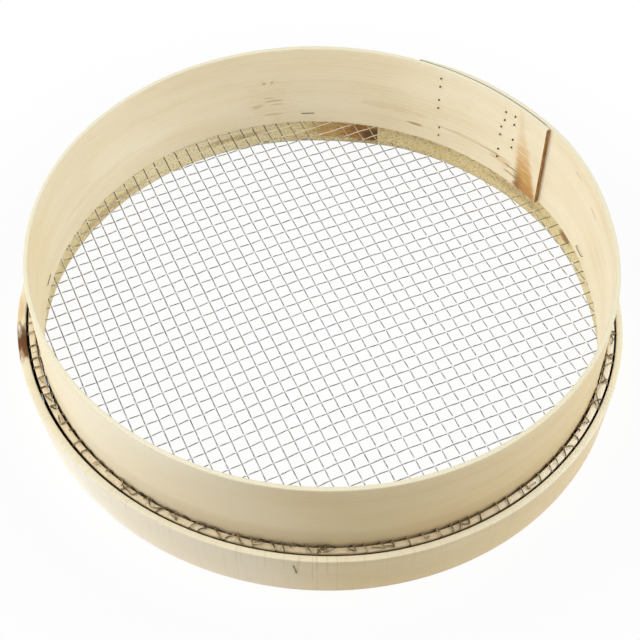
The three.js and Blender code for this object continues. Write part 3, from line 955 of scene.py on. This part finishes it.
# Painted shade: the folded ends' dark tones stand in for the shadows along the wires on the strip, and each end is
# painted dark below the filler's top, as shade in the gap.
fold_zinc = zinc_wire("fold_zinc", (70, 57, 39), (178, 160, 127), (56, 44, 28))
paint(fold_zinc, ease(parts(fold_zinc.place)[2], *GAP_FADE), GAP_SHADE)
staple_steel = zinc_wire("staple_steel", (92, 82, 66), (148, 136, 116), (84, 62, 38))
depth = attribute(staple_steel.place.tree, "depth")
paint(staple_steel, ease(depth, *RUST_FADE), RUST)
print("wire finishes:", fold_zinc.material.name, staple_steel.material.name)

# %% [markdown]
# ## The woven cloth
# About forty wires run each way, one centimetre apart, over and under each other. Drawing each one would take long,
# but the weave is a rule, so nodes make it: a row of points, one straight wire on each, lifted and lowered by a wave
# that changes sign from wire to wire. The other set reads the same crossings with the opposite sign, so the two
# really weave. A slow noise, shared by both sets, lets the cloth wander as real cloth does, and towards the left the
# whole cloth is pulled half a cell along the warp, so the weft wires bow. What then stands out is cut off round.

# %% Weaving nodes
BOW_STARTS, BOW_ENDS = -0.02, -0.19
DRIFT_SCALE, DRIFT_GAIN, DRIFT_WAYS = 11.0, 4.0, (1, 1, 0.25)
FLAT_CREST = -0.5, 1.5


def make_weaver():
    """Nodes that make one set of wires of a plain weave, in its place under the main hoop."""
    inputs = {"Blank": "Geometry", "Pitch": 0.01, "Wire": 0.001, "Count": 40, "First Offset": -0.2, "Reach": 0.2}
    inputs |= {"Angle": 0.0, "Cross Direction": (0, 0, 0), "Cross Shift": 0.0, "Lift": 0.0005, "Level": 0.02}
    inputs |= {"Wander": 0.00012, "Weft Direction": (0, 0, 0), "Bow Middle": 0.0, "Bow Left": 0.0, "Bow Slope": 0.0}
    inputs |= {"Cut Radius": 0.2, "Steps": 250, "Sides": 6, "Finish": "Material"}
    tree, given, made = open_group("weave_one_set", inputs, Wires="Geometry")
    pitch, weft = given["Pitch"], given["Weft Direction"]

    def here():
        return output("InputPosition", tree=tree)

    row = {"Count": given["Count"], "Start Location": vector(y=given["First Offset"]), "Offset": vector(y=pitch)}
    row = output("MeshLine", row, mode="OFFSET", count_mode="TOTAL")
    straight = output("CurvePrimitiveLine", {"Start": (-1, 0, 0), "End": (1, 0, 0)}, tree)
    straight = output("ResampleCurve", {"Curve": straight, "Count": given["Steps"]})
    wires = output("InstanceOnPoints", {"Points": row, "Instance": straight})
    wires = output("RealizeInstances", {0: wires})
    x, y, _ = parts(here())
    wires = store(wires, "number", sum_of("ROUND", (y - given["First Offset"]) / pitch))
    half = sum_of("SQRT", sum_of("POWER", given["Reach"], 2.0) - sum_of("POWER", y, 2.0))
    wires = output("SetPosition", {"Geometry": wires, "Position": vector(x * half, y)})
    wires = output("Transform", {"Geometry": wires, "Rotation": vector(z=given["Angle"])})
    across = vector_sum("DOT_PRODUCT", here(), given["Cross Direction"])
    crossing = across / pitch - given["Cross Shift"]
    wave = sum_of("COSINE", (crossing + named(tree, "number", "FLOAT")) * math.pi)
    bend = sum_of("POWER", wave, 2.0)
    wires = store(wires, "bend", bend)
    lift = wave * sum_of("MULTIPLY_ADD", bend, *FLAT_CREST) * given["Lift"] + given["Level"]
    drift = output("TexNoise", {"Vector": here(), "Scale": DRIFT_SCALE, "Detail": 2.0}, take="Color")
    drift = scaled(vector_sum("SUBTRACT", drift, (0.5, 0.5, 0.5)), given["Wander"] * DRIFT_GAIN)
    drift = vector_sum("MULTIPLY", drift, DRIFT_WAYS)
    run = vector_sum("DOT_PRODUCT", here(), weft)
    bow = ease(run, BOW_STARTS, BOW_ENDS, given["Bow Middle"], given["Bow Left"])
    bow = bow - sum_of("MAXIMUM", run, 0.0) * given["Bow Slope"]
    aside = scaled(vector_sum("CROSS_PRODUCT", (0, 0, 1), weft), bow)
    moved = vector_sum("ADD", vector_sum("ADD", drift, vector(z=lift)), aside)
    wires = output("SetPosition", {"Geometry": wires, "Offset": moved})
    far = vector_sum("LENGTH", vector_sum("MULTIPLY", here(), (1, 1, 0)))
    outside = {"Geometry": wires, "Selection": sum_of("GREATER_THAN", far, given["Cut Radius"])}
    wires = output("DeleteGeometry", outside, domain="POINT")
    link(round_wire(wires, given), made["Wires"])
    return tree


weaver = make_weaver()
print("weaving nodes:", len(weaver.nodes))

# %% Weave both sets
CLOTH_PITCH, WIRE, LIFT = 10 * MM, 0.88 * MM, 0.24 * MM
CLOTH_LEVEL, CLOTH_REACH, CLOTH_CUT = 25.55 * MM, 213.0 * MM, 207.0 * MM
BOW_MIDDLE, BOW_LEFT, BOW_SLOPE = 0.8 * MM, -5.6 * MM, 0.018
LARGEST_OFFSET = 202.4 * MM
SETS = {"warp": {"angle": 114.0, "shift": 0.38}, "weft": {"angle": 25.5, "shift": 0.23}}


def offsets_of(shift):
    """How far each wire of a set lies from the middle."""
    most = int(LARGEST_OFFSET / CLOTH_PITCH) + 1
    every = [(k + shift) * CLOTH_PITCH for k in range(-most, most + 1)]
    return [o for o in every if abs(o) <= LARGEST_OFFSET]


def direction(degrees):
    """A level direction of length one."""
    return math.cos(math.radians(degrees)), math.sin(math.radians(degrees)), 0.0


def weave(name, own, other, lift, finish):
    """Make one set; the other set gives the places where the wires cross."""
    offsets = offsets_of(own["shift"])
    first = round(offsets[0] / CLOTH_PITCH - own["shift"])
    sizes = {"Pitch": CLOTH_PITCH, "Wire": WIRE, "Count": len(offsets), "First Offset": offsets[0]}
    sizes |= {"Reach": CLOTH_REACH, "Cut Radius": CLOTH_CUT, "Angle": math.radians(own["angle"])}
    sizes |= {"Cross Direction": direction(other["angle"] + 90), "Cross Shift": other["shift"] - first}
    sizes |= {"Lift": lift, "Level": CLOTH_LEVEL, "Weft Direction": direction(SETS["weft"]["angle"])}
    sizes |= {"Bow Middle": BOW_MIDDLE, "Bow Left": BOW_LEFT, "Bow Slope": BOW_SLOPE, "Finish": finish.material}
    return made_by_nodes(name, bpy.data.meshes.new(name), weaver, sizes)


warp_wires = weave("warp_cloth", SETS["warp"], SETS["weft"], LIFT, warp_zinc)
weft_wires = weave("weft_cloth", SETS["weft"], SETS["warp"], -LIFT, weft_zinc)

# %% [markdown]
# ## The folded wire ends
# Past the main hoop's foot every wire turns up between the two hoops, lies over the filler hoop's top edge and dips
# into the outer gap. A wire that meets the hoop at a slant keeps its slant, so the ends cross each other, and a maker's
# pliers leave them untidy: about a third lie along the strip and some are cut short. One bent wire set round in a ring
# would look too even, so each end is a path of a few points with a seeded random lean, and the same kind of nodes that
# rounded the cloth's wires round these.

# %% Places round the hoops
RISES, FALLS = (3, 33), (68, 88)


def smooth_step(value, low, high):
    """0 below low, 1 above high, soft between."""
    t = min(max((value - low) / (high - low), 0.0), 1.0)
    return t * t * (3 - 2 * t)


def oval_at(angle):
    """How far the hoops stand out from round at an angle in degrees, in millimetres."""
    return OVAL * math.cos(2 * math.radians(angle - OVAL_ANGLE))


def bulged(radius, angle):
    """A radius in millimetres, oval and pushed out where the main hoop laps; the angle is in degrees."""
    a = (angle - RISES[0]) % 360 + RISES[0]
    return radius + oval_at(a) + MAIN_STEP * (smooth_step(a, *RISES) - smooth_step(a, *FALLS))


def round_hoop(angle, radius, height, aside):
    """A point at a radius and height in millimetres, moved aside along the hoop."""
    a = angle + aside / radius
    r = bulged(radius, math.degrees(a)) * MM
    return Vector((r * math.cos(a), r * math.sin(a), height * MM))


def bow_of(run):
    """How far a weft wire lies aside from straight at a place along it, both in metres."""
    bow = BOW_MIDDLE + (BOW_LEFT - BOW_MIDDLE) * smooth_step(-run, -BOW_STARTS, -BOW_ENDS)
    return bow - BOW_SLOPE * max(run, 0)


print("the weft lies aside at its left end by", round(bow_of(BOW_ENDS) / MM, 1), "mm")

# %% Paths of the wire ends
FOLD_RADIUS, TAIL_RADIUS = 207.75, 214.2
BEND = CLOTH_LEVEL / MM
TURN = BEND + 0.2
CLIMB_STEPS = [(-2.2, BEND), (-1.2, BEND), (-0.5, TURN), (0.0, BEND + 1.3), (0.05, 34.0), (0.0, 40.6)]
OVER_STEPS = [(0.4, -0.5), (1.3, 0.0), (3.2, 0.15), (5.2, -0.1)]
TOP_LEVEL, WHOLE, LAID_ALONG = 43.0, 0.88, 0.35
LEAST_STRAIGHT, MOST_LEAN, LEAST_CUT = 0.3, 1.3, 0.75
FIRST_TRAVEL, ROUNDS = 0.2, 4
UNEVEN_LEAN, UNEVEN_OVER = 0.1, 0.16
TOP_SPREAD, SHORT_CUT, TAIL_END = (-0.15, 0.55), (0.3, 0.7), (36.5, 40.5)
STRIP, STRIP_MARGIN, TAIL_WAY, TAIL_BEND = 5.9, 0.5, 6.1, (-0.2, -1.4)
ALONG_RUN, ALONG_PART, ALONG_BEND, ALONG_TIP, ALONG_RISE = (3, 9), 0.4, 4.6, (2, 5), (0.5, 0.6)
SEED = 7


def wire_end(offset, heading, chance):
    """One folded end as points in metres, or nothing where the wire runs too nearly along the hoop."""
    way = Vector((math.cos(heading), math.sin(heading)))
    foot = Vector((-way.y, way.x)) * offset
    travel = FIRST_TRAVEL
    for _ in range(ROUNDS):
        spot = foot + way * travel
        meet = bulged(FOLD_RADIUS, math.degrees(math.atan2(spot.y, spot.x))) * MM
        travel = math.sqrt(max(meet * meet - offset * offset, 0))
    spot = foot + way * travel
    angle = math.atan2(spot.y, spot.x)
    outward = Vector((math.cos(angle), math.sin(angle)))
    straight = way.dot(outward)
    if straight < LEAST_STRAIGHT:
        return None
    lean = (way.y * outward.x - way.x * outward.y) / straight
    lean = max(-MOST_LEAN, min(MOST_LEAN, lean)) + chance.gauss(0, UNEVEN_LEAN)
    level = TOP_LEVEL + chance.uniform(*TOP_SPREAD)
    cut = 1.0 if chance.random() < WHOLE else chance.uniform(*SHORT_CUT)
    drop = chance.uniform(*TAIL_END)
    points = []
    for out, high in CLIMB_STEPS:
        if high <= TURN:
            at = foot + way * (travel + out * MM / straight)
            points.append(Vector((at.x, at.y, high * MM)))
        else:
            points.append(round_hoop(angle, FOLD_RADIUS + out, high, lean * (high - BEND)))
    climb = lean * (level - BEND)
    over = chance.gauss(0, UNEVEN_OVER) + lean

    def lay(radius, rise, aside):
        points.append(round_hoop(angle, radius, level + rise, climb + aside))

    for out, rise in OVER_STEPS:
        if out <= STRIP * cut + STRIP_MARGIN:
            lay(FOLD_RADIUS + out, rise, over * out)
    if cut > LEAST_CUT and chance.random() < LAID_ALONG:
        run = chance.choice((-1, 1)) * chance.uniform(*ALONG_RUN)
        far = over * OVER_STEPS[-1][0]
        lay(FOLD_RADIUS + ALONG_BEND, ALONG_RISE[0], far + run * ALONG_PART)
        lay(FOLD_RADIUS + chance.uniform(*ALONG_TIP), ALONG_RISE[1], far + run)
    elif cut > LEAST_CUT:
        lay(TAIL_RADIUS + TAIL_BEND[0], TAIL_BEND[1], over * STRIP)
        lay(TAIL_RADIUS, drop - level, over * TAIL_WAY)
    return points


chance = random.Random(SEED)
ends = []
for kind, rule in SETS.items():
    for offset in offsets_of(rule["shift"]):
        for side, half_turn in ((1, 0), (-1, 180)):
            run = side * math.sqrt((FOLD_RADIUS * MM) ** 2 - offset ** 2)
            aside = bow_of(run) if kind == "weft" else 0.0
            ends.append(wire_end((offset + aside) * side, math.radians(rule["angle"] + half_turn), chance))
ends = [path for path in ends if path]
print("folded wire ends:", len(ends))

# %% Nodes that round a path
FOLD_WIRE = 0.95 * MM


def make_wire_former():
    """Nodes that turn drawn paths into smooth round wire."""
    inputs = {"Paths": "Geometry", "Wire": 0.001, "Sides": 6, "Fineness": 3, "Finish": "Material"}
    tree, given, made = open_group("round_wire", inputs, Wires="Geometry")
    path = output("MeshToCurve", {0: given["Paths"]})
    path = output("CurveSplineType", {"Curve": path}, spline_type="CATMULL_ROM")
    path = output("SetSplineResolution", {0: path, "Resolution": given["Fineness"]})
    link(round_wire(path, given), made["Wires"])
    return tree


def drawn_paths(name, paths):
    """A mesh of bare edges along the paths."""
    points, edges = [], []
    for path in paths:
        edges += [(len(points) + k, len(points) + k + 1) for k in range(len(path) - 1)]
        points += path
    mesh = bpy.data.meshes.new(name)
    mesh.from_pydata(points, edges, [])
    return mesh


fold_sizes = {"Wire": FOLD_WIRE, "Sides": 6, "Fineness": 3, "Finish": fold_zinc.material}
fold_paths = drawn_paths("folded_wire_ends", ends)
folded_ends = made_by_nodes("folded_wire_ends", fold_paths, make_wire_former(), fold_sizes)

# %% [markdown]
# ## Staples
# Staples hold the laps and the hoops. Each one is a flat wire bent to a U and driven in, so what shows is its crown on
# one side and, in the thin main hoop, the points of its legs on the other. Copies of one mesh would do, but nodes draw
# one U for each size of staple and place it on a point for each staple. The point carries the turn that sets the
# crown along its line and the legs into the wood.

# %% Staple nodes
def make_stapler():
    """Nodes that set a U-shaped staple on each point, turned by the point's own attribute."""
    inputs = {"Marks": "Geometry", "Crown": 0.01, "Leg": 0.008, "Width": 0.0007, "Thickness": 0.0006}
    inputs |= {"Bend": 0.0009, "Finish": "Material"}
    tree, given, made = open_group("set_staples", inputs, Staples="Geometry")
    half = given["Crown"] / 2.0
    other, tip = half * -1.0, given["Leg"] * -1.0
    corners = [(other, tip), (other, 0.0), (half, 0.0), (half, tip)]
    corners = {"Point " + str(k + 1): vector(x, y) for k, (x, y) in enumerate(corners)}
    shape = output("CurvePrimitiveQuadrilateral", corners, mode="POINTS")
    shape = output("SetSplineCyclic", {"Geometry": shape, "Cyclic": False})
    shape = output("FilletCurve", {"Curve": shape, "Radius": given["Bend"], "Count": 4}, mode="POLY")
    section = {"Width": given["Width"], "Height": given["Thickness"]}
    section = output("CurvePrimitiveQuadrilateral", section, mode="RECTANGLE")
    tube = output("CurveToMesh", {"Curve": shape, "Profile Curve": section, "Fill Caps": True})
    tube = store(tube, "depth", parts(output("InputPosition", tree=tree))[1] * -1.0)
    spots = output("MeshToPoints", {0: given["Marks"]})
    setting = {"Points": spots, "Instance": tube, "Rotation": named(tree, "turn", "FLOAT_VECTOR")}
    link(finished(output("InstanceOnPoints", setting), given["Finish"]), made["Staples"])
    return tree


stapler = make_stapler()
print("staple nodes:", len(stapler.nodes))

# %% Places of the staples
PROUD = 0.25
LEVEL, UPRIGHT, ASKEW = 0, 90, 101


def on_hoop(angle, height, radius):
    """A point on an oval hoop, in millimetres."""
    a, reach = math.radians(angle), radius + oval_at(angle)
    return Vector((reach * math.cos(a), reach * math.sin(a), height))


def on_main(angle, height, radius):
    """A point on the main hoop, which is a little wider at its foot."""
    share = (MAIN["foot"] + MAIN["height"] - height) / MAIN["height"]
    return on_hoop(angle, height, radius + MAIN_FLARE * share)


def staple_mark(angle, spot, slant, inward):
    """Place and turn of a staple: slant turns its crown from level, inward says that the legs point to the middle."""
    outward, up = Vector(direction(angle)), Vector((0, 0, 1))
    face = outward if inward else -outward
    tilt = math.radians(slant)
    crown = up.cross(outward) * math.cos(tilt) + up * math.sin(tilt)
    basis = Matrix((crown, face, crown.cross(face))).transposed()
    return (spot + face * PROUD) * MM, basis.to_euler()


def staples(name, marks, leg, crown=10.0, width=0.7, thick=0.6):
    """Set a group of staples; the sizes are in millimetres."""
    mesh = bpy.data.meshes.new(name)
    mesh.from_pydata([place for place, _ in marks], [], [])
    turns = mesh.attributes.new("turn", "FLOAT_VECTOR", "POINT")
    turns.data.foreach_set("vector", [c for _, turn in marks for c in turn])
    sizes = {"Leg": leg * MM, "Crown": crown * MM, "Width": width * MM, "Thickness": thick * MM}
    return made_by_nodes(name, mesh, stapler, {**sizes, "Finish": staple_steel.material})


print("crowns stand proud by", PROUD, "mm")

# %% Set the staples
LAP_SPOTS = [(62.2, 93.2), (62.2, 70.8), (61.5, 42.0)]
LAP_SPOTS += [(44.9, 91.2), (45.6, 74.4), (45.6, 50.3), (42.2, 92.5), (42.0, 68.9)]
INNER_SPOTS = [(14.3, 37), (93.4, 37), (175.2, 37), (254.1, 37), (333.6, 37)]
BAND_SPOTS = [(125, 12), (125, 30), (141, 12), (141, 30)]
ASKEW_ANGLE, ASKEW_HEIGHT = 266, 30.4
LAP_FACE, INNER_FACE, FRONT_FACE, BAND_FACE = 210.1, 203.0, 219.3, 224.5
lap_marks = [staple_mark(a, on_main(a, z, LAP_FACE), UPRIGHT, True) for a, z in LAP_SPOTS]
inner_marks = [staple_mark(a, on_main(a, z, INNER_FACE), LEVEL, False) for a, z in INNER_SPOTS]
askew_mark = staple_mark(ASKEW_ANGLE, on_hoop(ASKEW_ANGLE, ASKEW_HEIGHT, FRONT_FACE), ASKEW, True)
band_marks = [staple_mark(a, on_hoop(a, z, BAND_FACE), UPRIGHT, True) for a, z in BAND_SPOTS]
lap_staples = staples("lap_staples", lap_marks, leg=8.4, crown=8.4, width=1.2, thick=1.0)
inner_staples = staples("inner_staples", inner_marks, leg=7.9, crown=11.2, width=0.45, thick=0.5)
askew_staple = staples("askew_staple", [askew_mark], leg=8.0)
band_staples = staples("band_staples", band_marks, leg=8.3)

# %% [markdown]
# ## Handing the pieces over
# Nothing on a riddle moves, so every piece rides on the one body. Each piece names the solids that it stands for and
# the finish slot it takes.

# %% Bodies, solids and finishes
def numbered(name, spots):
    """The names of the solids of one group of staples."""
    return [name + "_" + str(k + 1) for k in range(len(spots))]


handed = [
    (main_hoop, "hoop_wood", ["main_hoop"]),
    (filler_hoop, "filler_wood", ["filler_hoop"]),
    (outer_hoop, "hoop_wood", ["outer_hoop"]),
    (warp_wires, "screen_wire", ["warp_wires"]),
    (weft_wires, "screen_wire", ["weft_wires"]),
    (folded_ends, "screen_wire", ["mesh_hem"]),
    (lap_staples, "staple_wire", numbered("lap_staple", LAP_SPOTS)),
    (inner_staples, "staple_wire", numbered("inner_staple", INNER_SPOTS)),
    (askew_staple, "staple_wire", ["front_staple"]),
    (band_staples, "staple_wire", numbered("band_staple", BAND_SPOTS)),
]
for piece, slot, nodes in handed:
    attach(piece, "root")
    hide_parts(*nodes)
print("pieces:", [piece.name for piece, _, _ in handed])
